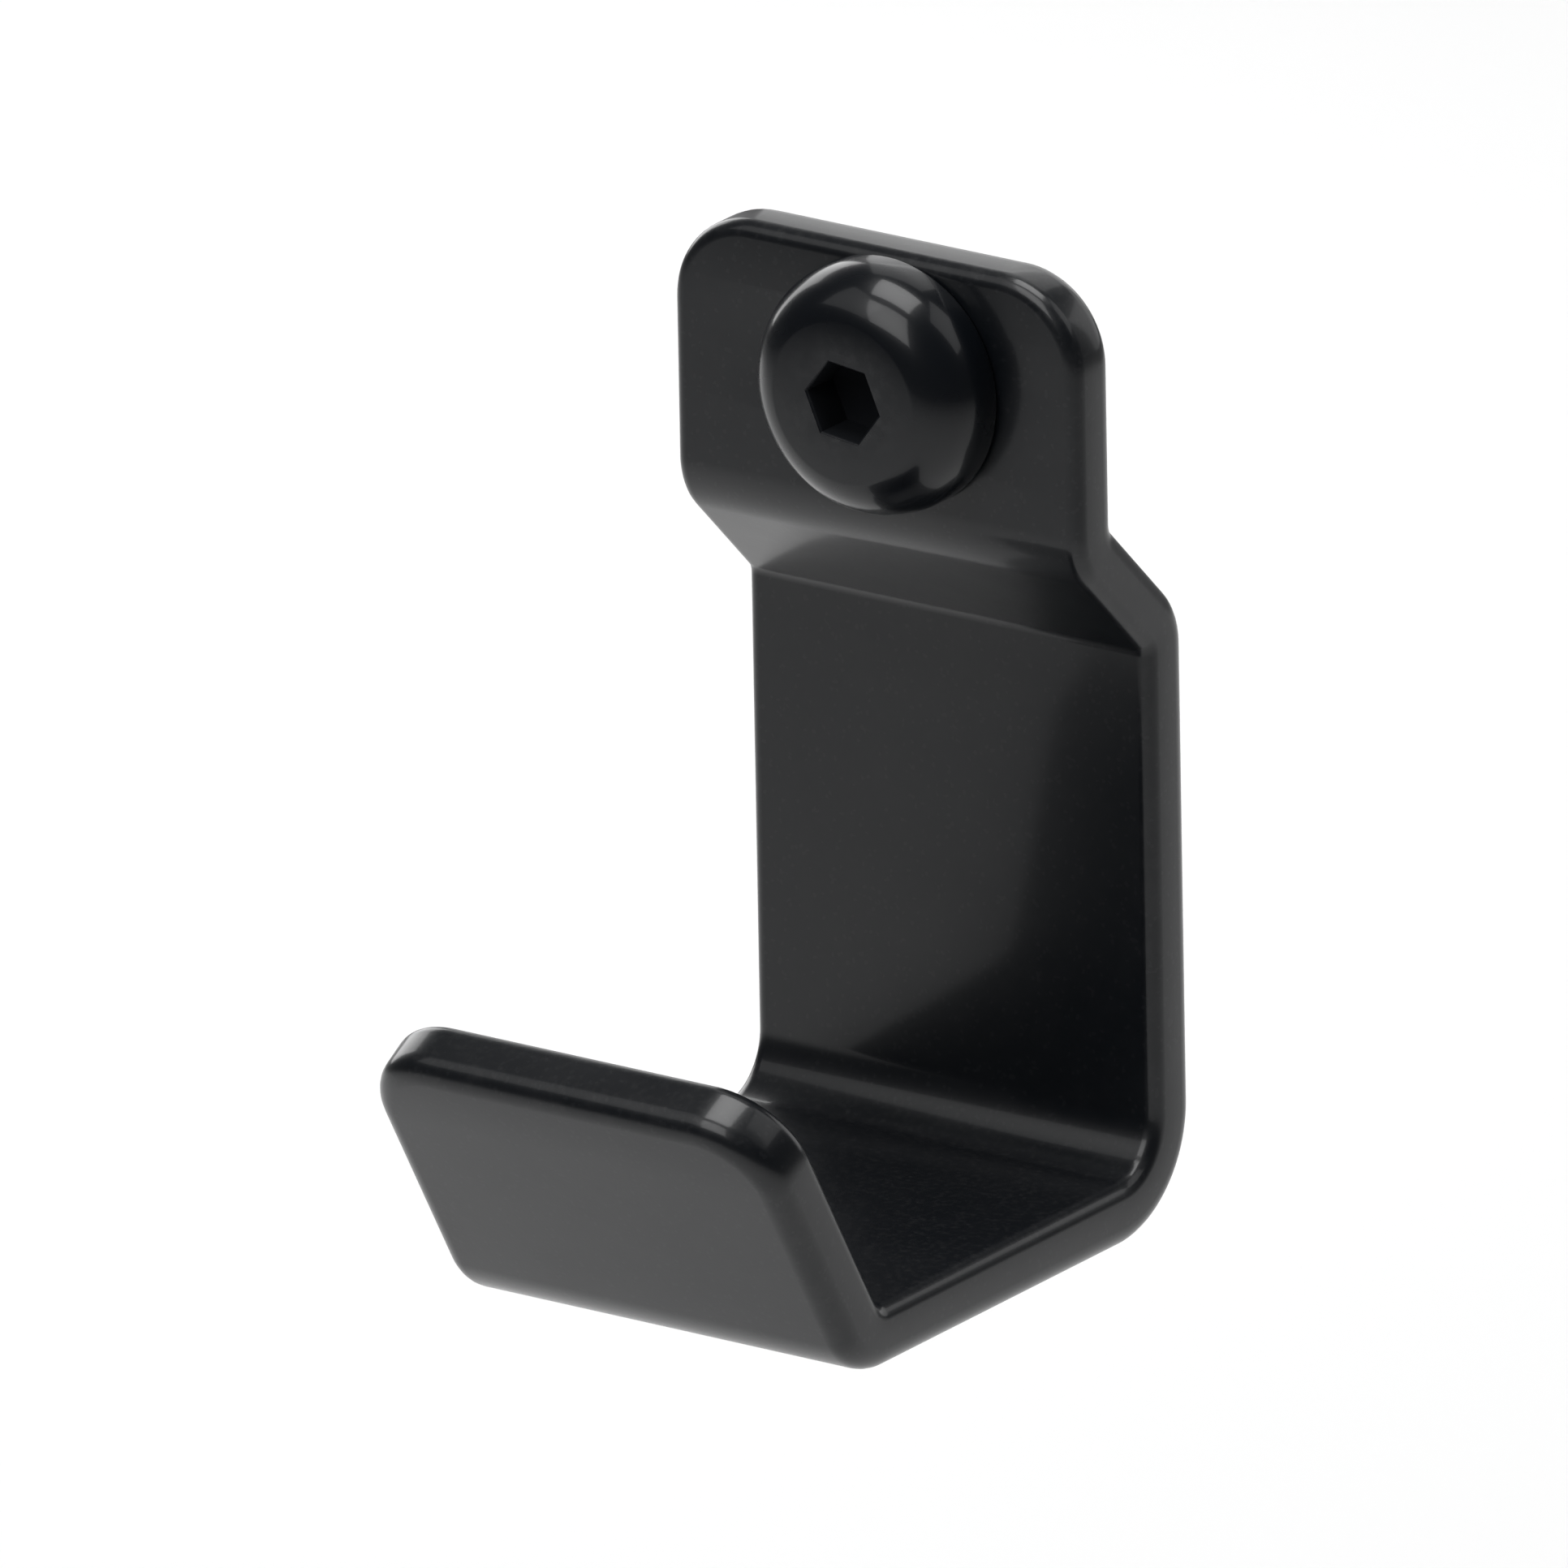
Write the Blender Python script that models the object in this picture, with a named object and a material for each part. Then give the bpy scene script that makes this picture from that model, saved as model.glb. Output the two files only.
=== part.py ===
"""A headphone hook that hangs from the slotted rail of a desk.

It has three pieces: a hook bent from one steel strip, a button-head screw, and the slot nut that the
screw draws up inside the rail. The origin is on the screw's axis, where the strip bears on the rail.
+X runs along the rail, +Y goes into the rail, +Z is up, and the hook's mouth opens towards -Y.

Run it with: blender --background --python part.py
"""

import math

import bmesh
import bpy
from mathutils import Vector

MM = 0.001  # every dimension below is in millimetres

# The strip's section. Its front is the side that becomes the inside of the cradle.
STRIP_WIDTH = 26.0
STRIP_THICKNESS = 3.6
STRIP_CENTRE_X = -1.1
FRONT_EDGE_RADIUS = 0.85
REAR_EDGE_RADIUS = 1.3

# The strip's side view, given by its mid-line
TAB_TOP_Z = 7.05
JOGGLE_Z = -7.85
JOGGLE_OFFSET = 6.3
JOGGLE_ANGLE = math.radians(45)
SHELF_TOP_Z = -43.75
LIP_FOOT_Y = -23.6
LIP_LENGTH = 17.6
LIP_LEAN = math.radians(30)
JOGGLE_BEND_RADIUS = 2.6
REAR_BEND_RADIUS = 4.8
FRONT_BEND_RADIUS = 2.8
TAB_CORNER_RADIUS = 5.0
LIP_CORNER_RADIUS = 4.6
SCREW_HOLE_DIAMETER = 6.6

# M6 button-head screw, 12 mm long
HEAD_DIAMETER = 13.9
HEAD_HEIGHT = 4.25
DOME_RADIUS = 3.35  # the arc between the head's flat face and its rim
DOME_DEPTH = 3.25  # from the face down to where the arc meets the rim
SCREW_DIAMETER = 5.9
SCREW_LENGTH = 12.0
SCREW_END_CHAMFER = 0.6
SOCKET_ACROSS_FLATS = 4.0
SOCKET_DEPTH = 2.4
SOCKET_CONE_DEPTH = 0.6
SOCKET_TURN = math.radians(-7)  # how far the tightened screw's socket corners stand from X
SEAT_GAP = 0.2  # between the head's underside and the strip

# M6 slot nut. The rail's lips lie between it and the strip.
RAIL_LIP = 2.2
NUT_LENGTH = 10.0
NUT_HEIGHT = 8.5
NUT_THICKNESS = 3.2
NUT_CORNER_BREAK = 0.5
NUT_BORE_DIAMETER = 6.4

# How finely the round shapes are cut
BEND_STEP = math.radians(9)
CORNER_STEPS = 8
EDGE_STEPS = 3
ROUND_SIDES = 48
HEAD_ARC_STEPS = 8
CUTTER_OVERRUN = 1.0


class BentLine:
    """The strip's mid-line in the YZ plane: straight runs joined by round bends."""

    def __init__(self, corners, radii):
        self.runs = []  # (start, length, point, heading angle, curvature) of each run and bend
        self.length = 0.0
        at = Vector(corners[0])
        for before, corner, after, radius in zip(corners, corners[1:], corners[2:], radii):
            arriving = Vector(corner) - Vector(before)
            leaving = Vector(after) - Vector(corner)
            turn = arriving.angle_signed(leaving) * -1  # positive is anticlockwise
            tangent = radius * math.tan(abs(turn) / 2)
            bend_start = Vector(corner) - arriving.normalized() * tangent
            self._add((bend_start - at).length, at, arriving, 0.0)
            self._add(radius * abs(turn), bend_start, arriving, math.copysign(1 / radius, turn))
            at = Vector(corner) + leaving.normalized() * tangent
        self._add((Vector(corners[-1]) - at).length, at, Vector(corners[-1]) - at, 0.0)

    def _add(self, length, point, direction, curvature):
        heading = math.atan2(direction.y, direction.x)
        self.runs.append((self.length, length, point, heading, curvature))
        self.length += length

    def at(self, distance):
        """The mid-line's point this far from the top, and the direction that the front faces there."""
        start, _, point, heading, curvature = [run for run in self.runs if run[0] <= distance][-1]
        along = distance - start
        turned = heading + curvature * along
        if curvature:
            centre = point + Vector((-math.sin(heading), math.cos(heading))) / curvature
            point = centre + Vector((math.sin(turned), -math.cos(turned))) / curvature
        else:
            point = point + Vector((math.cos(heading), math.sin(heading))) * along
        return point, Vector((math.sin(turned), -math.cos(turned)))

    def stations(self):
        """The distances at which the strip needs a cross line to follow its bends."""
        found = []
        for start, length, _, _, curvature in self.runs:
            if curvature:
                steps = math.ceil(length * abs(curvature) / BEND_STEP)
                found += [start + length * step / steps for step in range(steps + 1)]
        return found


def hook_line():
    """The mid-line: the tab, back through the joggle, the shank, the shelf and up the lip."""
    tab_y = -STRIP_THICKNESS / 2
    shank_y = tab_y + JOGGLE_OFFSET
    shelf_z = SHELF_TOP_Z - STRIP_THICKNESS / 2
    lip_end = (
        LIP_FOOT_Y - LIP_LENGTH * math.sin(LIP_LEAN),
        shelf_z + LIP_LENGTH * math.cos(LIP_LEAN),
    )
    corners = [
        (tab_y, TAB_TOP_Z),
        (tab_y, JOGGLE_Z),
        (shank_y, JOGGLE_Z - JOGGLE_OFFSET / math.tan(JOGGLE_ANGLE)),
        (shank_y, shelf_z),
        (LIP_FOOT_Y, shelf_z),
        lip_end,
    ]
    radii = [JOGGLE_BEND_RADIUS, JOGGLE_BEND_RADIUS, REAR_BEND_RADIUS, FRONT_BEND_RADIUS]
    return BentLine(corners, radii)


def edge_section():
    """(inset from the blank's outline, height over the mid-line) of each ring, front to rear."""
    half = STRIP_THICKNESS / 2
    angles = [math.radians(90) * step / EDGE_STEPS for step in range(EDGE_STEPS + 1)]
    front = [
        (FRONT_EDGE_RADIUS * (1 - math.sin(a)), half - FRONT_EDGE_RADIUS * (1 - math.cos(a)))
        for a in angles
    ]
    rear = [
        (REAR_EDGE_RADIUS * (1 - math.sin(a)), REAR_EDGE_RADIUS * (1 - math.cos(a)) - half)
        for a in reversed(angles)
    ]
    return front + rear


def blank_half_widths(line, inset):
    """(distance from the top, half width) down the flat blank, whose ends have round corners."""
    half = STRIP_WIDTH / 2

    def corner(radius, step):
        angle = math.radians(90) * step / CORNER_STEPS
        reach = radius - inset
        return inset + reach * (1 - math.cos(angle)), half - radius + reach * math.sin(angle)

    top = [corner(TAB_CORNER_RADIUS, step) for step in range(CORNER_STEPS + 1)]
    middle = [(distance, half - inset) for distance in line.stations()]
    bottom = [corner(LIP_CORNER_RADIUS, step) for step in reversed(range(CORNER_STEPS + 1))]
    return top + middle + [(line.length - distance, width) for distance, width in bottom]


def hook_strip():
    """One flat blank with round corners and soft edges, folded along the hook's mid-line."""
    line = hook_line()
    mesh = bmesh.new()
    rings = []
    for inset, height in edge_section():
        left, right = [], []
        for distance, half_width in blank_half_widths(line, inset):
            point, front = line.at(distance)
            y, z = point + front * height
            left.append(mesh.verts.new(Vector((STRIP_CENTRE_X - half_width, y, z)) * MM))
            right.append(mesh.verts.new(Vector((STRIP_CENTRE_X + half_width, y, z)) * MM))
        rings.append(left + right[::-1])
    for ring, below in zip(rings, rings[1:]):
        for i in range(len(ring)):
            mesh.faces.new((ring[i - 1], ring[i], below[i], below[i - 1]))
    for ring in (rings[0], rings[-1]):
        for i in range(len(ring) // 2 - 1):
            mesh.faces.new((ring[i], ring[i + 1], ring[-2 - i], ring[-1 - i]))
    strip = finished(mesh, "hook_strip", "black_coated_steel")
    front, rear = -STRIP_THICKNESS - CUTTER_OVERRUN, CUTTER_OVERRUN
    cut(strip, turned("screw_hole", cylinder(SCREW_HOLE_DIAMETER, front, rear)))
    return strip


def cylinder(diameter, y_start, y_end):
    """The profile of a plain cylinder along Y."""
    radius = diameter / 2
    return [(0.0, y_start), (radius, y_start), (radius, y_end), (0.0, y_end)]


def turned(name, profile, material=None):
    """A solid turned about the Y axis from (radius, y) points that start and end on the axis."""
    mesh = bmesh.new()
    first = mesh.verts.new(Vector((0, profile[0][1], 0)) * MM)
    last = mesh.verts.new(Vector((0, profile[-1][1], 0)) * MM)
    angles = [2 * math.pi * side / ROUND_SIDES for side in range(ROUND_SIDES)]
    rings = [
        [mesh.verts.new(Vector((r * math.cos(a), y, r * math.sin(a))) * MM) for a in angles]
        for r, y in profile[1:-1]
    ]
    for i in range(ROUND_SIDES):
        mesh.faces.new((first, rings[0][i - 1], rings[0][i]))
        mesh.faces.new((last, rings[-1][i], rings[-1][i - 1]))
        for ring, following in zip(rings, rings[1:]):
            mesh.faces.new((ring[i - 1], following[i - 1], following[i], ring[i]))
    return finished(mesh, name, material)


def button_screw():
    """The M6 screw: a flat-topped button head with a hexagon socket, and its shank."""
    seat = -STRIP_THICKNESS - SEAT_GAP
    face = seat - HEAD_HEIGHT
    head_radius = HEAD_DIAMETER / 2
    shank_radius = SCREW_DIAMETER / 2
    tip = seat + SCREW_LENGTH
    first_angle = math.acos(DOME_DEPTH / DOME_RADIUS)
    angle_step = (math.radians(90) - first_angle) / HEAD_ARC_STEPS
    arc = [first_angle + angle_step * step for step in range(HEAD_ARC_STEPS + 1)]
    profile = [(0.0, face)]
    profile += [
        (head_radius - DOME_RADIUS * (1 - math.sin(a)), face + DOME_DEPTH - DOME_RADIUS * math.cos(a))
        for a in arc
    ]
    profile += [
        (head_radius, seat),
        (shank_radius, seat),
        (shank_radius, tip - SCREW_END_CHAMFER),
        (shank_radius - SCREW_END_CHAMFER, tip),
        (0.0, tip),
    ]
    screw = turned("button_screw", profile, "black_screw_steel")
    cut(screw, socket_cutter(face))
    return screw


def socket_cutter(face):
    """A hexagon prism and a shallow cone below it, as a punched socket has."""
    corner_radius = SOCKET_ACROSS_FLATS / 2 / math.cos(math.radians(30))
    mesh = bmesh.new()
    rings = [
        [
            mesh.verts.new(
                Vector((corner_radius * math.cos(a), y, corner_radius * math.sin(a))) * MM
            )
            for a in (SOCKET_TURN + math.radians(60) * side for side in range(6))
        ]
        for y in (face - CUTTER_OVERRUN, face + SOCKET_DEPTH)
    ]
    bottom = mesh.verts.new(Vector((0, face + SOCKET_DEPTH + SOCKET_CONE_DEPTH, 0)) * MM)
    mesh.faces.new(rings[0])
    for i in range(6):
        mesh.faces.new((rings[0][i - 1], rings[0][i], rings[1][i], rings[1][i - 1]))
        mesh.faces.new((rings[1][i - 1], rings[1][i], bottom))
    return finished(mesh, "socket_hexagon")


def slot_nut():
    """A flat bar nut with broken corners, flat against the inside of the rail's lips."""
    half_length, half_height = NUT_LENGTH / 2, NUT_HEIGHT / 2
    short_length, short_height = half_length - NUT_CORNER_BREAK, half_height - NUT_CORNER_BREAK
    outline = [
        (half_length, -short_height),
        (half_length, short_height),
        (short_length, half_height),
        (-short_length, half_height),
    ]
    outline += [(-x, -z) for x, z in outline]
    front, back = RAIL_LIP, RAIL_LIP + NUT_THICKNESS
    mesh = bmesh.new()
    faces = [
        [mesh.verts.new(Vector((x, y, z)) * MM) for x, z in outline] for y in (front, back)
    ]
    for face in faces:
        mesh.faces.new(face)
    for i in range(len(outline)):
        mesh.faces.new((faces[0][i - 1], faces[0][i], faces[1][i], faces[1][i - 1]))
    nut = finished(mesh, "slot_nut", "black_plated_steel")
    bore = cylinder(NUT_BORE_DIAMETER, front - CUTTER_OVERRUN, back + CUTTER_OVERRUN)
    cut(nut, turned("nut_bore", bore))
    return nut


def finished(mesh, name, material=None):
    """Makes the object of this mesh, with its faces out. Without a material it is a cutter."""
    bmesh.ops.recalc_face_normals(mesh, faces=mesh.faces)
    data = bpy.data.meshes.new(name)
    mesh.to_mesh(data)
    mesh.free()
    data.shade_smooth()
    data.set_sharp_from_angle(angle=math.radians(35))
    piece = bpy.data.objects.new(name, data)
    bpy.context.scene.collection.objects.link(piece)
    if material:
        data.materials.append(bpy.data.materials[material])
    else:
        piece.hide_render = True
        piece.display_type = "WIRE"
    return piece


def cut(piece, cutter):
    """Cuts the cutter's shape out of the piece."""
    modifier = piece.modifiers.new(cutter.name, "BOOLEAN")
    modifier.operation = "DIFFERENCE"
    modifier.solver = "EXACT"
    modifier.object = cutter


def make_material(name, colour, metallic, roughness):
    """A Principled BSDF with one colour."""
    material = bpy.data.materials.new(name)
    material.use_nodes = True
    shader = material.node_tree.nodes["Principled BSDF"]
    shader.inputs["Base Color"].default_value = (*colour, 1.0)
    shader.inputs["Metallic"].default_value = metallic
    shader.inputs["Roughness"].default_value = roughness


def main():
    for leftover in list(bpy.data.objects):
        bpy.data.objects.remove(leftover)
    make_material("black_coated_steel", (0.022, 0.022, 0.024), 0.0, 0.42)
    make_material("black_screw_steel", (0.030, 0.030, 0.032), 0.8, 0.33)
    make_material("black_plated_steel", (0.06, 0.06, 0.065), 1.0, 0.35)
    strip = hook_strip()
    for moving in (button_screw(), slot_nut()):
        moving.parent = strip


main()
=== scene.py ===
"""The looks of the headphone hook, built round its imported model.

The hook is bent from one steel strip and powder coated black. A black button-head screw holds it to a
desk's slotted rail, with a black plated slot nut behind. All places and sizes are in metres, in the
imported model's frame: the origin is on the screw's axis at the strip's rear face, +Y goes into the rail
and +Z is up.
"""

from __future__ import annotations

import logging
import math
import sys
from dataclasses import dataclass, field
from enum import Enum

import bmesh
import bpy
from mathutils import Matrix, Vector

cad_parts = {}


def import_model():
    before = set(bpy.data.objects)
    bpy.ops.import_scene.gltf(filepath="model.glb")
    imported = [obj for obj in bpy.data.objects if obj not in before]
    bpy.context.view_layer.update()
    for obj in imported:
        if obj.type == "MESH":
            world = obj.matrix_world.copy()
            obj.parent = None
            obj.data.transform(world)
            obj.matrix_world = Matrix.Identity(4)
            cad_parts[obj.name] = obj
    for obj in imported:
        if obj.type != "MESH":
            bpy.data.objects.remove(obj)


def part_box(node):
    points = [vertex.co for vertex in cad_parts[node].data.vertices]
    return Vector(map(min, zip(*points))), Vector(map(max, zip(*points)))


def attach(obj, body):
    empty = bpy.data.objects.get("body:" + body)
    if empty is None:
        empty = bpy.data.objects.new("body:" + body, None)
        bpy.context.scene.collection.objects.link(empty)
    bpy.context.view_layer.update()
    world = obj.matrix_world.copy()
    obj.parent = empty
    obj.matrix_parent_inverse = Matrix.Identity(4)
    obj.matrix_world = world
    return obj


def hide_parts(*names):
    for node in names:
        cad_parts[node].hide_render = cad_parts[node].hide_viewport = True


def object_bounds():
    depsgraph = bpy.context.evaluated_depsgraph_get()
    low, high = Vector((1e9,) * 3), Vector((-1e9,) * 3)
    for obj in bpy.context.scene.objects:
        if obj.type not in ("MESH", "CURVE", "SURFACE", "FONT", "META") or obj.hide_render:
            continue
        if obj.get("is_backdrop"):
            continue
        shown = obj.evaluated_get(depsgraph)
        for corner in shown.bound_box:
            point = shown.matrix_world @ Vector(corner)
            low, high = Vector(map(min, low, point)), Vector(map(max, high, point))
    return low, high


LOG = logging.getLogger("headphone_hook")
MM = 0.001
OVERRUN = 0.5 * MM  # how far a cutter goes past the face that it cuts
FINE_ROUND = 96  # the sides of a drilled hole
FILM_IOR = 1.5
TONE_BAND = (0.3, 0.7)  # the grain's tone lies in it nearly everywhere

Point = tuple[float, float]
Colour = tuple[float, float, float]
Socket = bpy.types.NodeSocket


class Body(Enum):
    """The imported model's moving bodies."""

    HOOK = "hook"
    SCREW = "screw"
    NUT = "nut"


class Slot(Enum):
    """The record's material slots."""

    HOOK_COAT = "hook_coat"
    SCREW_BLACK = "screw_black"
    NUT_BLACK = "nut_black"


class ThreadSide(Enum):
    """Which side of a screw thread is being made."""

    SCREW = "screw"
    TAP = "tap"


# Node trees


class Wiring:
    """A node tree, with short ways to add its nodes and link them."""

    def __init__(self, tree: bpy.types.NodeTree) -> None:
        self.tree = tree
        self.nodes = tree.nodes
        self.links = tree.links

    def fill(self, socket: Socket, value: Socket | float | tuple[float, ...]) -> None:
        """Links an input to another node's output, or sets it to a constant."""
        if isinstance(value, Socket):
            self.links.new(value, socket)
        else:
            socket.default_value = value

    def math(self, operation: str, *values: Socket | float) -> Socket:
        """Adds one Math node.

        Args:
            operation: The node's operation.
            values: Its inputs in order, each a socket to link or a number to set.

        Returns:
            Its result.
        """
        node = self.nodes.new("ShaderNodeMath")
        node.operation = operation
        for socket, value in zip(node.inputs, values):
            self.fill(socket, value)
        return node.outputs[0]

    def noise(
        self, place: Socket, scale: Socket | float, detail: float, roughness: float = 0.5
    ) -> Socket:
        """Adds one Noise Texture node.

        Args:
            place: Where each point lies in the noise.
            scale: How fine the noise is.
            detail: How many finer layers it has.
            roughness: How strong those layers are.

        Returns:
            Its value, about 0 to 1.
        """
        node = self.nodes.new("ShaderNodeTexNoise")
        self.links.new(place, node.inputs["Vector"])
        for label, value in (("Scale", scale), ("Detail", detail), ("Roughness", roughness)):
            self.fill(node.inputs[label], value)
        return node.outputs["Fac"]

    def ranged(
        self, value: Socket, source: Point, target: Point = (0.0, 1.0), smooth: bool = False
    ) -> Socket:
        """Adds one Map Range node.

        Args:
            value: The value to move.
            source: The range that it is clamped to.
            target: The range that this one is moved to.
            smooth: Whether it eases in and out.

        Returns:
            The moved value.
        """
        node = self.nodes.new("ShaderNodeMapRange")
        if smooth:
            node.interpolation_type = "SMOOTHSTEP"
        node.inputs["From Min"].default_value, node.inputs["From Max"].default_value = source
        node.inputs["To Min"].default_value, node.inputs["To Max"].default_value = target
        self.links.new(value, node.inputs["Value"])
        return node.outputs["Result"]

    def axes(self, vector: Socket) -> bpy.types.NodeOutputs:
        """A vector's X, Y and Z."""
        node = self.nodes.new("ShaderNodeSeparateXYZ")
        self.links.new(vector, node.inputs["Vector"])
        return node.outputs


class EffectGroup(Wiring):
    """A shader node group with a Vector input, value inputs and value outputs."""

    def __init__(self, name: str, inputs: dict[str, float], outputs: tuple[str, ...]) -> None:
        """Starts the group.

        Args:
            name: The group's name.
            inputs: Each value input's name with its default.
            outputs: The outputs' names.
        """
        super().__init__(bpy.data.node_groups.new(name, "ShaderNodeTree"))
        face = self.tree.interface
        face.new_socket("Vector", in_out="INPUT", socket_type="NodeSocketVector")
        for label, default in inputs.items():
            socket = face.new_socket(label, in_out="INPUT", socket_type="NodeSocketFloat")
            socket.default_value = default
        for label in outputs:
            face.new_socket(label, in_out="OUTPUT", socket_type="NodeSocketFloat")
        self.given = self.nodes.new("NodeGroupInput").outputs
        self.result = self.nodes.new("NodeGroupOutput").inputs


class Effects:
    """The shader node groups that the finishes share, each built once."""

    SPECK_REACH, SPECK_BLEND, SPECK_DROP = 0.6, 0.3, -0.35
    CLOUD_SCALE = 140.0
    MOTE_SCALE = 2600.0
    WEAR_BAND = (0.42, 0.68)
    DUST_BAND = (0.5, 0.75)
    DUST_TILT = (0.3, 1.0)

    def __init__(self) -> None:
        self.grain = self._grain()
        self.edge_wear = self._edge_wear()
        self.dust = self._dust()

    def _grain(self) -> bpy.types.ShaderNodeTree:
        """Orange peel with cured powder specks on it.

        Returns:
            A group that puts out a height, a tone of 0 to 1 round 0.5, and a mask of sparse specks.
        """
        group = EffectGroup(
            "surface_grain",
            {"Peel Scale": 900.0, "Speck Scale": 5200.0, "Speck Share": 0.35},
            ("Height", "Tone", "Specks"),
        )
        given, result = group.given, group.result
        peel = group.noise(given["Vector"], given["Peel Scale"], 3.0, 0.55)
        specks = group.nodes.new("ShaderNodeTexVoronoi")
        group.links.new(given["Vector"], specks.inputs["Vector"])
        group.links.new(given["Speck Scale"], specks.inputs["Scale"])
        dome = group.math("SMOOTH_MIN", specks.outputs["Distance"], self.SPECK_REACH, self.SPECK_BLEND)
        group.links.new(group.math("MULTIPLY_ADD", dome, self.SPECK_DROP, peel), result["Height"])
        group.links.new(group.noise(given["Vector"], self.CLOUD_SCALE, 4.0), result["Tone"])
        cell = group.nodes.new("ShaderNodeSeparateColor")
        group.links.new(specks.outputs["Color"], cell.inputs["Color"])
        share = group.math("SUBTRACT", 1.0, given["Speck Share"])
        group.links.new(group.math("GREATER_THAN", cell.outputs["Red"], share), result["Specks"])
        return group.tree

    def _edge_wear(self) -> bpy.types.ShaderNodeTree:
        """Handling wear, strongest where a piece's edge attribute is 1 and broken up by noise.

        Returns:
            A group that puts out a mask.
        """
        group = EffectGroup("edge_wear", {"Edge": 0.0, "Amount": 0.3, "Scale": 700.0}, ("Mask",))
        given = group.given
        noise = group.noise(given["Vector"], given["Scale"], 5.0, 0.65)
        broken = group.ranged(noise, self.WEAR_BAND, smooth=True)
        on_edge = group.math("MULTIPLY", broken, given["Edge"])
        group.links.new(group.math("MULTIPLY", on_edge, given["Amount"]), group.result["Mask"])
        return group.tree

    def _dust(self) -> bpy.types.ShaderNodeTree:
        """Fine dust that has settled on whatever faces up.

        Returns:
            A group that puts out a mask.
        """
        group = EffectGroup("settled_dust", {"Up": 0.0, "Amount": 0.2}, ("Mask",))
        given = group.given
        motes = group.ranged(group.noise(given["Vector"], self.MOTE_SCALE, 2.0), self.DUST_BAND)
        lying = group.math("MULTIPLY", motes, group.ranged(given["Up"], self.DUST_TILT))
        group.links.new(group.math("MULTIPLY", lying, given["Amount"]), group.result["Mask"])
        return group.tree


class MaterialBench(Wiring):
    """A new material with its Principled shader. A name with _ stands for a socket's with a space."""

    def __init__(self, name: str) -> None:
        self.material = bpy.data.materials.new(name)
        self.material.use_nodes = True
        super().__init__(self.material.node_tree)
        self.shader = self.nodes["Principled BSDF"]
        self.place = self.nodes.new("ShaderNodeTexCoord").outputs

    def feed(self, **values: Socket | float | tuple[float, ...]) -> None:
        """Links or sets the shader's sockets."""
        for label, value in values.items():
            self.fill(self.shader.inputs[label.replace("_", " ")], value)

    def group(self, tree: bpy.types.ShaderNodeTree, **values: Socket | float) -> bpy.types.NodeOutputs:
        """Places a shared effect on the piece's own coordinates, with this material's values."""
        node = self.nodes.new("ShaderNodeGroup")
        node.node_tree = tree
        self.links.new(self.place["Object"], node.inputs["Vector"])
        for label, value in values.items():
            self.fill(node.inputs[label.replace("_", " ")], value)
        return node.outputs

    def attribute(self, name: str) -> Socket:
        """A float attribute of the mesh."""
        node = self.nodes.new("ShaderNodeAttribute")
        node.attribute_name = name
        return node.outputs["Fac"]

    def mix(self, mask: Socket, low: Socket | Colour, high: Socket | Colour) -> Socket:
        """Mixes two colours by a mask.

        Args:
            mask: 0 gives the low colour and 1 the high one.
            low: A colour or a socket that gives one.
            high: The same.

        Returns:
            The mixed colour.
        """
        node = self.nodes.new("ShaderNodeMix")
        node.data_type = "RGBA"
        self.links.new(mask, node.inputs["Factor"])
        ends = [socket for socket in node.inputs if socket.type == "RGBA"]
        for socket, value in zip(ends, (low, high)):
            self.fill(socket, value if isinstance(value, Socket) else (*value, 1.0))
        return next(socket for socket in node.outputs if socket.type == "RGBA")

    def bump(self, height: Socket, depth: float, under: Socket | None = None) -> Socket:
        """A normal bent by a height.

        Args:
            height: A value of about 0 to 1.
            depth: How far 1 stands out, in metres.
            under: Another normal to start from.

        Returns:
            The normal.
        """
        node = self.nodes.new("ShaderNodeBump")
        node.inputs["Distance"].default_value = depth
        self.links.new(height, node.inputs["Height"])
        if under is not None:
            self.links.new(under, node.inputs["Normal"])
        return node.outputs["Normal"]


# Finishes


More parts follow.
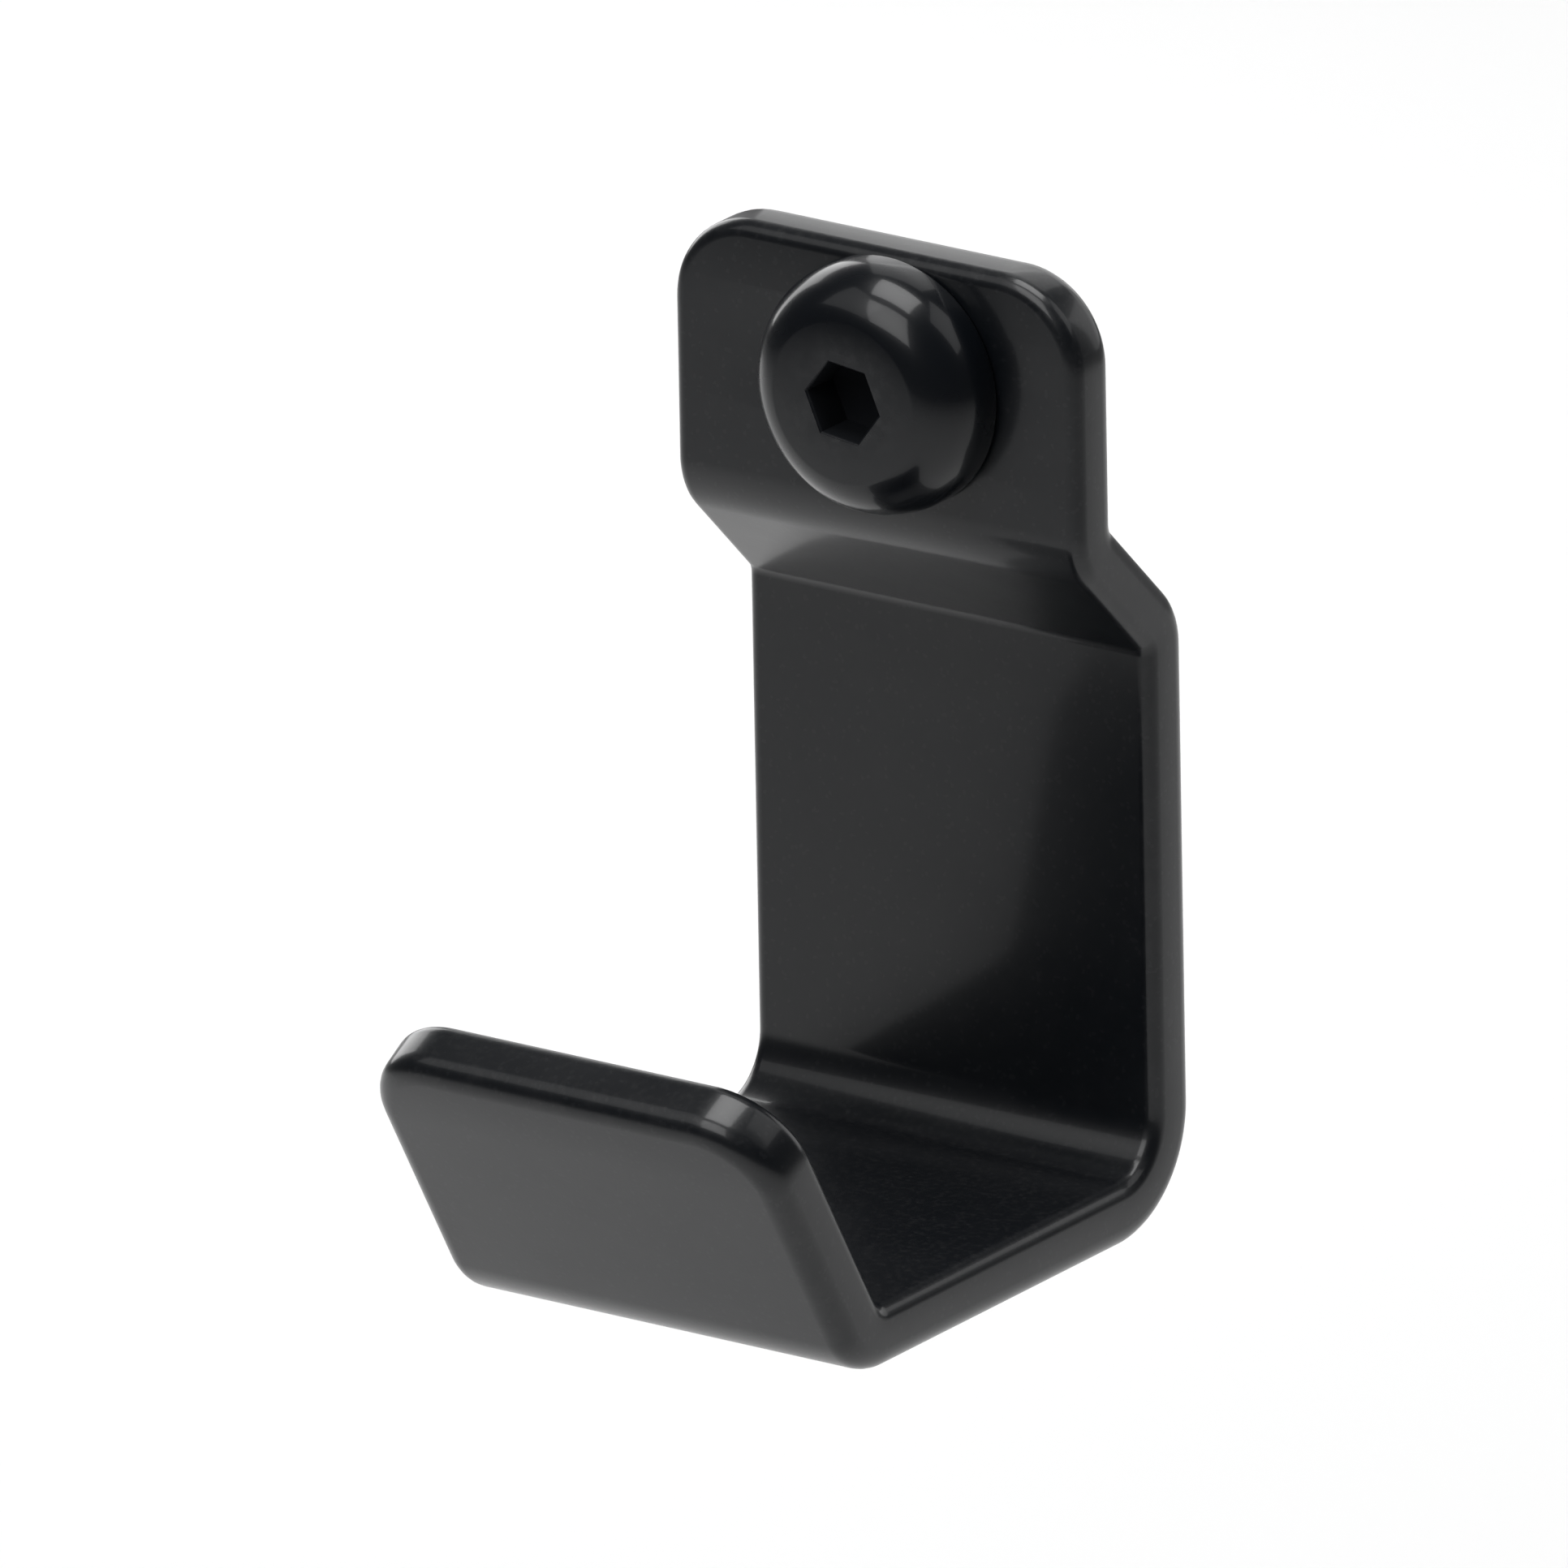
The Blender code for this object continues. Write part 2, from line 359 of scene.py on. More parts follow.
@dataclass(frozen=True)
class PowderCoat:
    """Satin black powder coat: faint orange peel, cured specks, slight wear on edges, a little dust."""

    colour: Colour = (0.0034, 0.0044, 0.0062)
    speck_colour: Colour = (0.008, 0.009, 0.011)
    worn_colour: Colour = (0.05, 0.05, 0.052)
    dust_colour: Colour = (0.16, 0.155, 0.145)
    roughness: float = 0.33
    roughness_swing: float = 0.03
    dust_dullness: float = 0.4
    base_shine: float = 0.32
    gloss_weight: float = 0.35
    gloss_roughness: float = 0.11
    peel_depth: float = 0.004 * MM
    wear: float = 0.10
    dust: float = 0.04

    def material(self, effects: Effects) -> bpy.types.Material:
        """Builds the finish.

        Args:
            effects: The shared node groups.

        Returns:
            The material.
        """
        bench = MaterialBench("black_powder_coat")
        bench.feed(IOR=FILM_IOR, Metallic=0.0, Specular_IOR_Level=self.base_shine)
        bench.feed(Coat_Weight=self.gloss_weight, Coat_Roughness=self.gloss_roughness, Coat_IOR=FILM_IOR)
        grain = bench.group(effects.grain, Peel_Scale=850.0, Speck_Scale=5200.0, Speck_Share=0.05)
        edge = bench.attribute("edge")
        wear = bench.group(effects.edge_wear, Edge=edge, Amount=self.wear, Scale=650.0)["Mask"]
        up = bench.axes(bench.place["Normal"])["Z"]
        dust = bench.group(effects.dust, Up=up, Amount=self.dust)["Mask"]
        coat = bench.mix(grain["Specks"], self.colour, self.speck_colour)
        worn = bench.mix(wear, coat, self.worn_colour)
        low, high = self.roughness - self.roughness_swing, self.roughness + self.roughness_swing
        rough = bench.ranged(grain["Tone"], TONE_BAND, (low, high))
        bench.feed(
            Base_Color=bench.mix(dust, worn, self.dust_colour),
            Roughness=bench.math("MULTIPLY_ADD", dust, self.dust_dullness, rough),
            Normal=bench.bump(grain["Height"], self.peel_depth),
        )
        return bench.material


@dataclass(frozen=True)
class BlackScrewFinish:
    """Black coated steel screw: semi-glossy, faintly turned, rubbed on its edges, dull in its socket."""

    colour: Colour = (0.0034, 0.0044, 0.0062)
    rubbed_colour: Colour = (0.10, 0.10, 0.10)
    roughness: float = 0.27
    roughness_swing: Point = (-0.02, 0.03)
    socket_roughness: float = 0.85
    base_shine: float = 0.20
    gloss_weight: float = 0.4
    gloss_roughness: float = 0.09
    grain_depth: float = 0.002 * MM
    turning_pitch: float = 0.14 * MM
    turning_depth: float = 0.0003 * MM
    wear: float = 0.15

    def material(self, effects: Effects) -> bpy.types.Material:
        """Builds the finish.

        Args:
            effects: The shared node groups.

        Returns:
            The material.
        """
        bench = MaterialBench("black_screw_coat")
        bench.feed(IOR=FILM_IOR, Metallic=0.0, Specular_IOR_Level=self.base_shine)
        bench.feed(Coat_Roughness=self.gloss_roughness, Coat_IOR=FILM_IOR)
        grain = bench.group(effects.grain, Peel_Scale=1500.0, Speck_Scale=9000.0, Speck_Share=0.1)
        punched = bench.attribute("punched")
        handled = bench.math("MAXIMUM", bench.math("SUBTRACT", bench.attribute("edge"), punched), 0.0)
        wear = bench.group(effects.edge_wear, Edge=handled, Amount=self.wear, Scale=1400.0)["Mask"]
        low, high = (self.roughness + swing for swing in self.roughness_swing)
        smooth = bench.ranged(grain["Tone"], TONE_BAND, (low, high))
        dull = bench.math("MULTIPLY", punched, self.socket_roughness)
        turned = bench.bump(self._turning(bench), self.turning_depth)
        bench.feed(
            Base_Color=bench.mix(wear, self.colour, self.rubbed_colour),
            Roughness=bench.math("MAXIMUM", smooth, dull),
            Normal=bench.bump(grain["Height"], self.grain_depth, turned),
            Coat_Weight=bench.ranged(punched, (0.0, 1.0), (self.gloss_weight, 0.0)),
        )
        return bench.material

    def _turning(self, bench: MaterialBench) -> Socket:
        """Fine rings round the screw's axis, as a lathe tool leaves them."""
        place = bench.axes(bench.place["Object"])
        across = bench.math("MULTIPLY", place["X"], place["X"])
        radius = bench.math("SQRT", bench.math("MULTIPLY_ADD", place["Z"], place["Z"], across))
        turns = bench.math("MULTIPLY", radius, 2 * math.pi / self.turning_pitch)
        return bench.math("MULTIPLY_ADD", bench.math("SINE", turns), 0.5, 0.5)


@dataclass(frozen=True)
class BlackZinc:
    """Black zinc plate on drawn steel strip, with drawn lines along it and bare corners."""

    colour: Colour = (0.050, 0.052, 0.057)
    dull_colour: Colour = (0.038, 0.040, 0.043)
    bare_colour: Colour = (0.32, 0.33, 0.34)
    patch_band: Point = (0.35, 0.65)
    roughness: float = 0.30
    roughness_swing: Point = (-0.06, 0.12)
    line_scale: Colour = (90.0, 5200.0, 5200.0)
    line_depth: float = 0.006 * MM
    grain_depth: float = 0.003 * MM
    wear: float = 0.5

    def material(self, effects: Effects) -> bpy.types.Material:
        """Builds the finish.

        Args:
            effects: The shared node groups.

        Returns:
            The material.
        """
        bench = MaterialBench("black_zinc_plate")
        bench.feed(Metallic=1.0)
        grain = bench.group(effects.grain, Peel_Scale=2200.0, Speck_Scale=4000.0, Speck_Share=0.4)
        edge = bench.attribute("edge")
        wear = bench.group(effects.edge_wear, Edge=edge, Amount=self.wear, Scale=900.0)["Mask"]
        stretch = bench.nodes.new("ShaderNodeMapping")
        stretch.inputs["Scale"].default_value = self.line_scale
        bench.links.new(bench.place["Object"], stretch.inputs["Vector"])
        lines = bench.noise(stretch.outputs["Vector"], 1.0, 3.0)
        patches = bench.ranged(grain["Tone"], self.patch_band)
        plate = bench.mix(patches, self.colour, self.dull_colour)
        low, high = (self.roughness + swing for swing in self.roughness_swing)
        drawn = bench.bump(lines, self.line_depth)
        bench.feed(
            Base_Color=bench.mix(wear, plate, self.bare_colour),
            Roughness=bench.ranged(lines, TONE_BAND, (low, high)),
            Normal=bench.bump(grain["Height"], self.grain_depth, drawn),
        )
        return bench.material


@dataclass(frozen=True)
class FloorPaint:
    """Plain pale matt floor, seen from above only, so that a view from below isn't blocked."""

    colour: Colour = (0.90, 0.90, 0.90)

    def material(self) -> bpy.types.Material:
        """Builds the finish."""
        bench = MaterialBench("pale_floor")
        bench.feed(Base_Color=(*self.colour, 1.0), Roughness=0.9, Specular_IOR_Level=0.2)
        side = bench.nodes.new("ShaderNodeNewGeometry")
        clear = bench.nodes.new("ShaderNodeBsdfTransparent")
        either = bench.nodes.new("ShaderNodeMixShader")
        ends = (side.outputs["Backfacing"], bench.shader.outputs["BSDF"], clear.outputs["BSDF"])
        for socket, value in zip(either.inputs, ends):
            bench.links.new(value, socket)
        bench.links.new(either.outputs["Shader"], bench.nodes["Material Output"].inputs["Surface"])
        return bench.material


# Mesh helpers


def new_piece(name: str, mesh: bmesh.types.BMesh) -> bpy.types.Object:
    """Makes a smooth-shaded object of a mesh, with its faces turned outwards.

    Args:
        name: The object's name.
        mesh: The mesh, which is freed.

    Returns:
        The object, at the origin.
    """
    bmesh.ops.recalc_face_normals(mesh, faces=mesh.faces)
    data = bpy.data.meshes.new(name)
    mesh.to_mesh(data)
    mesh.free()
    data.shade_smooth()
    piece = bpy.data.objects.new(name, data)
    bpy.context.scene.collection.objects.link(piece)
    return piece


def apply_modifiers(piece: bpy.types.Object) -> None:
    """Keeps the shape that the modifiers make, and takes them off."""
    graph = bpy.context.evaluated_depsgraph_get()
    made = bpy.data.meshes.new_from_object(piece.evaluated_get(graph))
    old = piece.data
    piece.modifiers.clear()
    piece.data = made
    bpy.data.meshes.remove(old)


def combine(piece: bpy.types.Object, other: bpy.types.Object, operation: str) -> None:
    """Joins another shape to the piece or cuts it out, and removes that other shape.

    Args:
        piece: The piece to change.
        other: The shape to join or to cut with.
        operation: UNION or DIFFERENCE.
    """
    modifier = piece.modifiers.new(other.name, "BOOLEAN")
    modifier.operation = operation
    modifier.solver = "EXACT"
    modifier.object = other
    apply_modifiers(piece)
    bpy.data.objects.remove(other)


def lathe(name: str, profile: list[Point], sides: int) -> bpy.types.Object:
    """Turns a profile about the Y axis.

    Args:
        name: The object's name.
        profile: (radius, y) points that start and end on the axis.
        sides: How many flats the circle has.

    Returns:
        A closed solid.
    """
    mesh = bmesh.new()
    first = mesh.verts.new((0.0, profile[0][1], 0.0))
    last = mesh.verts.new((0.0, profile[-1][1], 0.0))
    angles = [2 * math.pi * side / sides for side in range(sides)]
    rings = [
        [mesh.verts.new((r * math.cos(a), y, r * math.sin(a))) for a in angles]
        for r, y in profile[1:-1]
    ]
    for i in range(sides):
        mesh.faces.new((first, rings[0][i - 1], rings[0][i]))
        mesh.faces.new((last, rings[-1][i], rings[-1][i - 1]))
        for ring, following in zip(rings, rings[1:]):
            mesh.faces.new((ring[i - 1], following[i - 1], following[i], ring[i]))
    return new_piece(name, mesh)


def quarter(steps: int) -> list[float]:
    """The angles of a quarter turn, from 0 to 90 degrees."""
    return [math.radians(90) * step / steps for step in range(steps + 1)]


def rounded(radius: float, steps: int) -> list[Point]:
    """How far a quarter round stays inside its corner, across and along, at each step."""
    return [(radius * (1 - math.sin(a)), radius * (1 - math.cos(a))) for a in quarter(steps)]


def paint_edges(piece: bpy.types.Object, sharpest: float, flattest: float) -> None:
    """Stores how close each point is to a bent edge of the piece, as its edge attribute.

    Args:
        piece: The piece.
        sharpest: The angle between neighbouring faces, in radians, that counts as a full edge.
        flattest: The angle up to which a point counts as lying on a face, and gets 0.
    """
    mesh = bmesh.new()
    mesh.from_mesh(piece.data)
    values = []
    for vert in mesh.verts:
        turn = max((edge.calc_face_angle(0.0) for edge in vert.link_edges), default=0.0)
        values.append(min(max((turn - flattest) / (sharpest - flattest), 0.0), 1.0))
    mesh.free()
    piece.data.attributes.new("edge", "FLOAT", "POINT").data.foreach_set("value", values)


def coat(piece: bpy.types.Object, material: bpy.types.Material, crease: float) -> None:
    """Gives a piece its only material, and smooth shading broken at its creases.

    Args:
        piece: The piece.
        material: Its finish.
        crease: The angle between neighbouring faces, in radians, past which an edge looks sharp.
    """
    piece.data.materials.clear()
    piece.data.materials.append(material)
    piece.data.shade_smooth()
    piece.data.set_sharp_from_angle(angle=crease)


# The hook


class BentLine:
    """A strip's mid-line in the YZ plane: straight runs joined by round bends."""

    def __init__(self, corners: list[Point], radii: list[float], bend_step: float) -> None:
        self.bend_step = bend_step
        self.runs: list[tuple[float, float, Vector, float, float]] = []
        self.length = 0.0
        at = Vector(corners[0])
        for before, corner, after, radius in zip(corners, corners[1:], corners[2:], radii):
            arriving = Vector(corner) - Vector(before)
            leaving = Vector(after) - Vector(corner)
            turn = -arriving.angle_signed(leaving)
            tangent = radius * math.tan(abs(turn) / 2)
            bend_start = Vector(corner) - arriving.normalized() * tangent
            self._add((bend_start - at).length, at, arriving, 0.0)
            self._add(radius * abs(turn), bend_start, arriving, math.copysign(1 / radius, turn))
            at = Vector(corner) + leaving.normalized() * tangent
        end = Vector(corners[-1])
        self._add((end - at).length, at, end - at, 0.0)

    def _add(self, length: float, point: Vector, direction: Vector, curvature: float) -> None:
        """Adds a run or a bend: where it starts along the strip, and how it goes on."""
        heading = math.atan2(direction.y, direction.x)
        self.runs.append((self.length, length, point, heading, curvature))
        self.length += length

    def at(self, distance: float) -> tuple[Vector, Vector]:
        """Finds a place on the line.

        Args:
            distance: The distance from the top end.

        Returns:
            The point, as (y, z), and the direction that the strip's front faces there.
        """
        start, _, point, heading, curvature = [run for run in self.runs if run[0] <= distance][-1]
        along = distance - start
        turned = heading + curvature * along
        if curvature:
            centre = point + Vector((-math.sin(heading), math.cos(heading))) / curvature
            point = centre + Vector((math.sin(turned), -math.cos(turned))) / curvature
        else:
            point = point + Vector((math.cos(heading), math.sin(heading))) * along
        return point, Vector((math.sin(turned), -math.cos(turned)))

    def stations(self, longest_run: float) -> list[float]:
        """The distances at which the strip has a cross line.

        Args:
            longest_run: The longest stretch of a straight run without one.

        Returns:
            The distances from the top end, in order.
        """
        found: list[float] = []
        for start, length, _, _, curvature in self.runs:
            if curvature:
                steps = math.ceil(length * abs(curvature) / self.bend_step)
            else:
                steps = math.ceil(length / longest_run)
            found += [start + length * step / steps for step in range(steps)]
        return found + [self.length]


@dataclass
class HookStrip:
    """The hook itself: a flat blank with round corners and soft edges, folded along its mid-line."""

    low: Vector
    high: Vector
    finish: PowderCoat
    thickness: float = 3.6 * MM
    front_edge: float = 0.85 * MM
    rear_edge: float = 1.3 * MM
    joggle_z: float = -7.85 * MM
    joggle_angle: float = math.radians(45)
    lip_foot_y: float = -23.6 * MM
    lip_length: float = 17.6 * MM
    lip_lean: float = math.radians(30)
    bend_radii: tuple[float, ...] = (2.6 * MM, 2.6 * MM, 4.8 * MM, 2.8 * MM)
    tab_corner: float = 5.0 * MM
    lip_corner: float = 4.6 * MM
    hole_diameter: float = 6.6 * MM
    hole_rim: float = 0.25 * MM
    corner_steps: int = 20
    edge_steps: int = 7
    bend_step: float = math.radians(3)
    longest_run: float = 2.0 * MM
    flattest: float = math.radians(4)
    crease: float = math.radians(35)

    def mid_line(self) -> BentLine:
        """Works out the mid-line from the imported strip's box and the bends.

        Returns:
            The line, from the top of the tab to the tip of the lip.
        """
        tab_y = -self.thickness / 2
        shank_y = self.high.y - self.thickness / 2
        shelf_z = self.low.z + self.thickness / 2
        corners = [
            (tab_y, self.high.z),
            (tab_y, self.joggle_z),
            (shank_y, self.joggle_z - (shank_y - tab_y) / math.tan(self.joggle_angle)),
            (shank_y, shelf_z),
            (self.lip_foot_y, shelf_z),
            (
                self.lip_foot_y - self.lip_length * math.sin(self.lip_lean),
                shelf_z + self.lip_length * math.cos(self.lip_lean),
            ),
        ]
        return BentLine(corners, list(self.bend_radii), self.bend_step)

    def build(self) -> bpy.types.Object:
        """Makes the strip's mesh.

        Returns:
            The piece, with its edge attribute painted.
        """
        line = self.mid_line()
        centre_x = (self.low.x + self.high.x) / 2
        mesh = bmesh.new()
        rings = []
        for inset, height in self._edge_section():
            left, right = [], []
            for distance, half_width in self._outline(line, inset):
                point, front = line.at(distance)
                y, z = point + front * height
                left.append(mesh.verts.new((centre_x - half_width, y, z)))
                right.append(mesh.verts.new((centre_x + half_width, y, z)))
            rings.append(left + right[::-1])
        for ring, below in zip(rings, rings[1:]):
            for i in range(len(ring)):
                mesh.faces.new((ring[i - 1], ring[i], below[i], below[i - 1]))
        for ring in (rings[0], rings[-1]):
            for i in range(len(ring) // 2 - 1):
                mesh.faces.new((ring[i], ring[i + 1], ring[-2 - i], ring[-1 - i]))
        piece = new_piece("hook_strip_coated", mesh)
        self._drill(piece)
        paint_edges(piece, math.radians(90 / self.edge_steps), self.flattest)
        return piece

    def _edge_section(self) -> list[Point]:
        """(inset from the outline, height over the mid-line) of each ring, from front to rear."""
        half = self.thickness / 2
        front = rounded(self.front_edge, self.edge_steps)
        rear = rounded(self.rear_edge, self.edge_steps)
        over = [(inset, half - drop) for inset, drop in front]
        return over + [(inset, drop - half) for inset, drop in reversed(rear)]

    def _outline(self, line: BentLine, inset: float) -> list[Point]:
        """Walks down one side of the flat blank.

        Args:
            line: The mid-line.
            inset: How far in from the blank's true outline.

        Returns:
            (distance from the top end, half the width there) of each cross line.
        """
        half = (self.high.x - self.low.x) / 2

        def corner(radius: float, angle: float) -> Point:
            """A point of an end's round corner."""
            reach = radius - inset
            return inset + reach * (1 - math.cos(angle)), half - radius + reach * math.sin(angle)

        top = [corner(self.tab_corner, angle) for angle in quarter(self.corner_steps)]
        middle = [
            (distance, half - inset)
            for distance in line.stations(self.longest_run)
            if self.tab_corner < distance < line.length - self.lip_corner
        ]
        bottom = [
            corner(self.lip_corner, angle) for angle in reversed(quarter(self.corner_steps))
        ]
        return top + middle + [(line.length - distance, width) for distance, width in bottom]

    def _drill(self, piece: bpy.types.Object) -> None:
        """Cuts the screw's clearance hole, with the coat's soft rim on both faces."""
        radius = self.hole_diameter / 2
        rim = rounded(self.hole_rim, self.edge_steps)
        clear = radius + self.hole_rim + OVERRUN
        front, rear = -self.thickness, 0.0
        profile = [(0.0, front - OVERRUN), (clear, front - OVERRUN)]
        profile += [(radius + across, front + deep) for across, deep in rim]
        profile += [(radius + across, rear - deep) for across, deep in reversed(rim)]
        profile += [(clear, rear + OVERRUN), (0.0, rear + OVERRUN)]
        combine(piece, lathe("hook_hole", profile, FINE_ROUND), "DIFFERENCE")

    def dress(self, effects: Effects) -> bpy.types.Object:
        """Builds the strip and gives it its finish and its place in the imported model.

        Args:
            effects: The shared node groups.

        Returns:
            The finished piece.
        """
        piece = self.build()
        coat(piece, self.finish.material(effects), self.crease)
        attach(piece, Body.HOOK.value)
        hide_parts("hook_strip")
        length = self.mid_line().length / MM
        LOG.info("hook strip: blank %.1f mm long, %d faces", length, len(piece.data.polygons))
        return piece


# The screw thread


@dataclass(frozen=True)
class Thread:
    """A right-hand M6 thread along +Y, in phase for the screw and for the tap that cuts the nut."""

    pitch: float = 1.0 * MM
    crest: float = 2.95 * MM
    root: float = 2.42 * MM
    clearance: float = 0.07 * MM
    around: int = 72
    rows_per_turn: int = 18

    def solid(
        self,
        tree: bpy.types.GeometryNodeTree,
        side: ThreadSide,
        start: float,
        end: float,
        lead_in: float,
        material: bpy.types.Material,
    ) -> bpy.types.Object:
        """Makes a closed threaded bar with the Geometry Nodes tree.

        Args:
            tree: The threaded bar's tree.
            side: SCREW for the thread itself, TAP for the slightly larger shape that cuts a nut.
            start: The y of its first end.
            end: The y of its last end.
            lead_in: How far the thread fades out, and the bar tapers, towards the last end.
            material: Its finish.

        Returns:
            The bar.
        """
        wider = self.clearance if side is ThreadSide.TAP else 0.0
        values = {
            "Start": start,
            "Length": end - start,
            "Pitch": self.pitch,
            "Root Radius": self.root + wider,
            "Crest Radius": self.crest + wider,
            "Flank Clearance": wider / self.pitch,
            "Lead In": lead_in,
            "Around": self.around,
            "Rows": math.ceil((end - start) / self.pitch * self.rows_per_turn),
            "Material": material,
        }
        bar = new_piece(f"thread_of_{side.value}", bmesh.new())
        modifier = bar.modifiers.new("thread", "NODES")
        modifier.node_group = tree
        for item in tree.interface.items_tree:
            if item.item_type == "SOCKET" and item.in_out == "INPUT" and item.name in values:
                modifier[item.identifier] = values[item.name]
        apply_modifiers(bar)
        return bar


class ThreadTree(Wiring):
    """The Geometry Nodes tree that rolls a grid into a threaded bar along +Y."""

    FLOATS = ("Start", "Length", "Pitch", "Root Radius", "Crest Radius", "Flank Clearance", "Lead In")
    INTEGERS = ("Around", "Rows")
    CREST_SHARE = 0.30
    FLANK_SHARE = 0.44
    END_TAPER = 0.14
    WELD = 0.0001 * MM

    def __init__(self) -> None:
        super().__init__(bpy.data.node_groups.new("threaded_bar", "GeometryNodeTree"))
        self._declare()
        self._wire()

    def _declare(self) -> None:
        """Gives the tree its named inputs and its output."""
        face = self.tree.interface
        face.new_socket("Geometry", in_out="INPUT", socket_type="NodeSocketGeometry")
        for label in self.FLOATS:
            face.new_socket(label, in_out="INPUT", socket_type="NodeSocketFloat")
        for label in self.INTEGERS:
            face.new_socket(label, in_out="INPUT", socket_type="NodeSocketInt")
        face.new_socket("Material", in_out="INPUT", socket_type="NodeSocketMaterial")
        face.new_socket("Geometry", in_out="OUTPUT", socket_type="NodeSocketGeometry")
        self.given = self.nodes.new("NodeGroupInput").outputs
        self.result = self.nodes.new("NodeGroupOutput").inputs["Geometry"]

    def _grid(self) -> tuple[Socket, Socket, Socket]:
        """Makes the flat grid: a row for each level of the wall, and one more to close each end.

        Returns:
            Its mesh, how far round each point lies, from 0 to 1, and the number of its row.
        """
        grid = self.nodes.new("GeometryNodeMeshGrid")
        self.links.new(self.math("ADD", self.given["Around"], 1.0), grid.inputs["Vertices X"])
        self.links.new(self.math("ADD", self.given["Rows"], 3.0), grid.inputs["Vertices Y"])
        for label in ("Size X", "Size Y"):
            grid.inputs[label].default_value = 1.0
        flat = self.axes(self.nodes.new("GeometryNodeInputPosition").outputs[0])
        along = self.math("ADD", flat["Y"], 0.5)
        row = self.math("MULTIPLY", along, self.math("ADD", self.given["Rows"], 2.0))
        return grid.outputs["Mesh"], self.math("ADD", flat["X"], 0.5), row

    def _wire(self) -> None:
        """Rolls the grid up: the first and the last row close the ends on the axis."""
        mesh, round_share, row = self._grid()
        given = self.given
        share = self._clamped(self.math("DIVIDE", self.math("SUBTRACT", row, 1.0), given["Rows"]))
        y = self.math("MULTIPLY_ADD", share, given["Length"], given["Start"])
        turns = self.math("SUBTRACT", self.math("DIVIDE", y, given["Pitch"]), round_share)
        ridge = self._ridge(self.math("FRACT", turns))
        to_end = self.math("MULTIPLY", self.math("SUBTRACT", 1.0, share), given["Length"])
        lead_in = self.math("MAXIMUM", given["Lead In"], self.WELD)
        fade = self._clamped(self.math("DIVIDE", to_end, lead_in))
        depth = self.math("SUBTRACT", given["Crest Radius"], given["Root Radius"])
        tooth = self.math("MULTIPLY", ridge, fade)
        threaded = self.math("MULTIPLY_ADD", tooth, depth, given["Root Radius"])
        lost = self.math("MULTIPLY", self.math("SUBTRACT", 1.0, fade), self.END_TAPER)
        kept = self.math("SUBTRACT", 1.0, lost)
        after_first = self.math("GREATER_THAN", row, 0.5)
        before_last = self.math("LESS_THAN", row, self.math("ADD", given["Rows"], 1.5))
        on_wall = self.math("MULTIPLY", after_first, before_last)
        radius = self.math("MULTIPLY", self.math("MULTIPLY", threaded, kept), on_wall)
        self._roll(mesh, radius, self.math("MULTIPLY", round_share, 2 * math.pi), y)

    def _clamped(self, value: Socket) -> Socket:
        """The value kept between 0 and 1."""
        return self.math("MINIMUM", self.math("MAXIMUM", value, 0.0), 1.0)

    def _ridge(self, place: Socket) -> Socket:
        """The thread's trapezium, 1 on its crest and 0 at its root.

        Args:
            place: The place in one pitch, 0 to 1, with the crest's middle at 0.5.

        Returns:
            The height.
        """
        away = self.math("ABSOLUTE", self.math("SUBTRACT", place, 0.5))
        half_foot = (self.CREST_SHARE + self.FLANK_SHARE) / 2
        reach = self.math("ADD", self.given["Flank Clearance"], half_foot)
        fall = self.math("DIVIDE", self.math("SUBTRACT", reach, away), self.FLANK_SHARE / 2)
        return self._clamped(fall)

    def _roll(self, mesh: Socket, radius: Socket, angle: Socket, y: Socket) -> None:
        """Moves the grid's points to their radius, angle and y, welds the seam and ends the tree."""
        place = self.nodes.new("ShaderNodeCombineXYZ")
        self.links.new(self.math("MULTIPLY", radius, self.math("SINE", angle)), place.inputs["X"])
        self.links.new(y, place.inputs["Y"])
        self.links.new(self.math("MULTIPLY", radius, self.math("COSINE", angle)), place.inputs["Z"])
        steps = [
            self.nodes.new(f"GeometryNode{kind}")
            for kind in ("SetPosition", "MergeByDistance", "RealizeInstances", "SetMaterial")
        ]
        moved, weld, _, finish = steps
        self.links.new(place.outputs[0], moved.inputs["Position"])
        weld.inputs["Distance"].default_value = self.WELD
        self.links.new(self.given["Material"], finish.inputs["Material"])
        for step in steps:
            self.links.new(mesh, step.inputs["Geometry"])
            mesh = step.outputs["Geometry"]
        self.links.new(mesh, self.result)


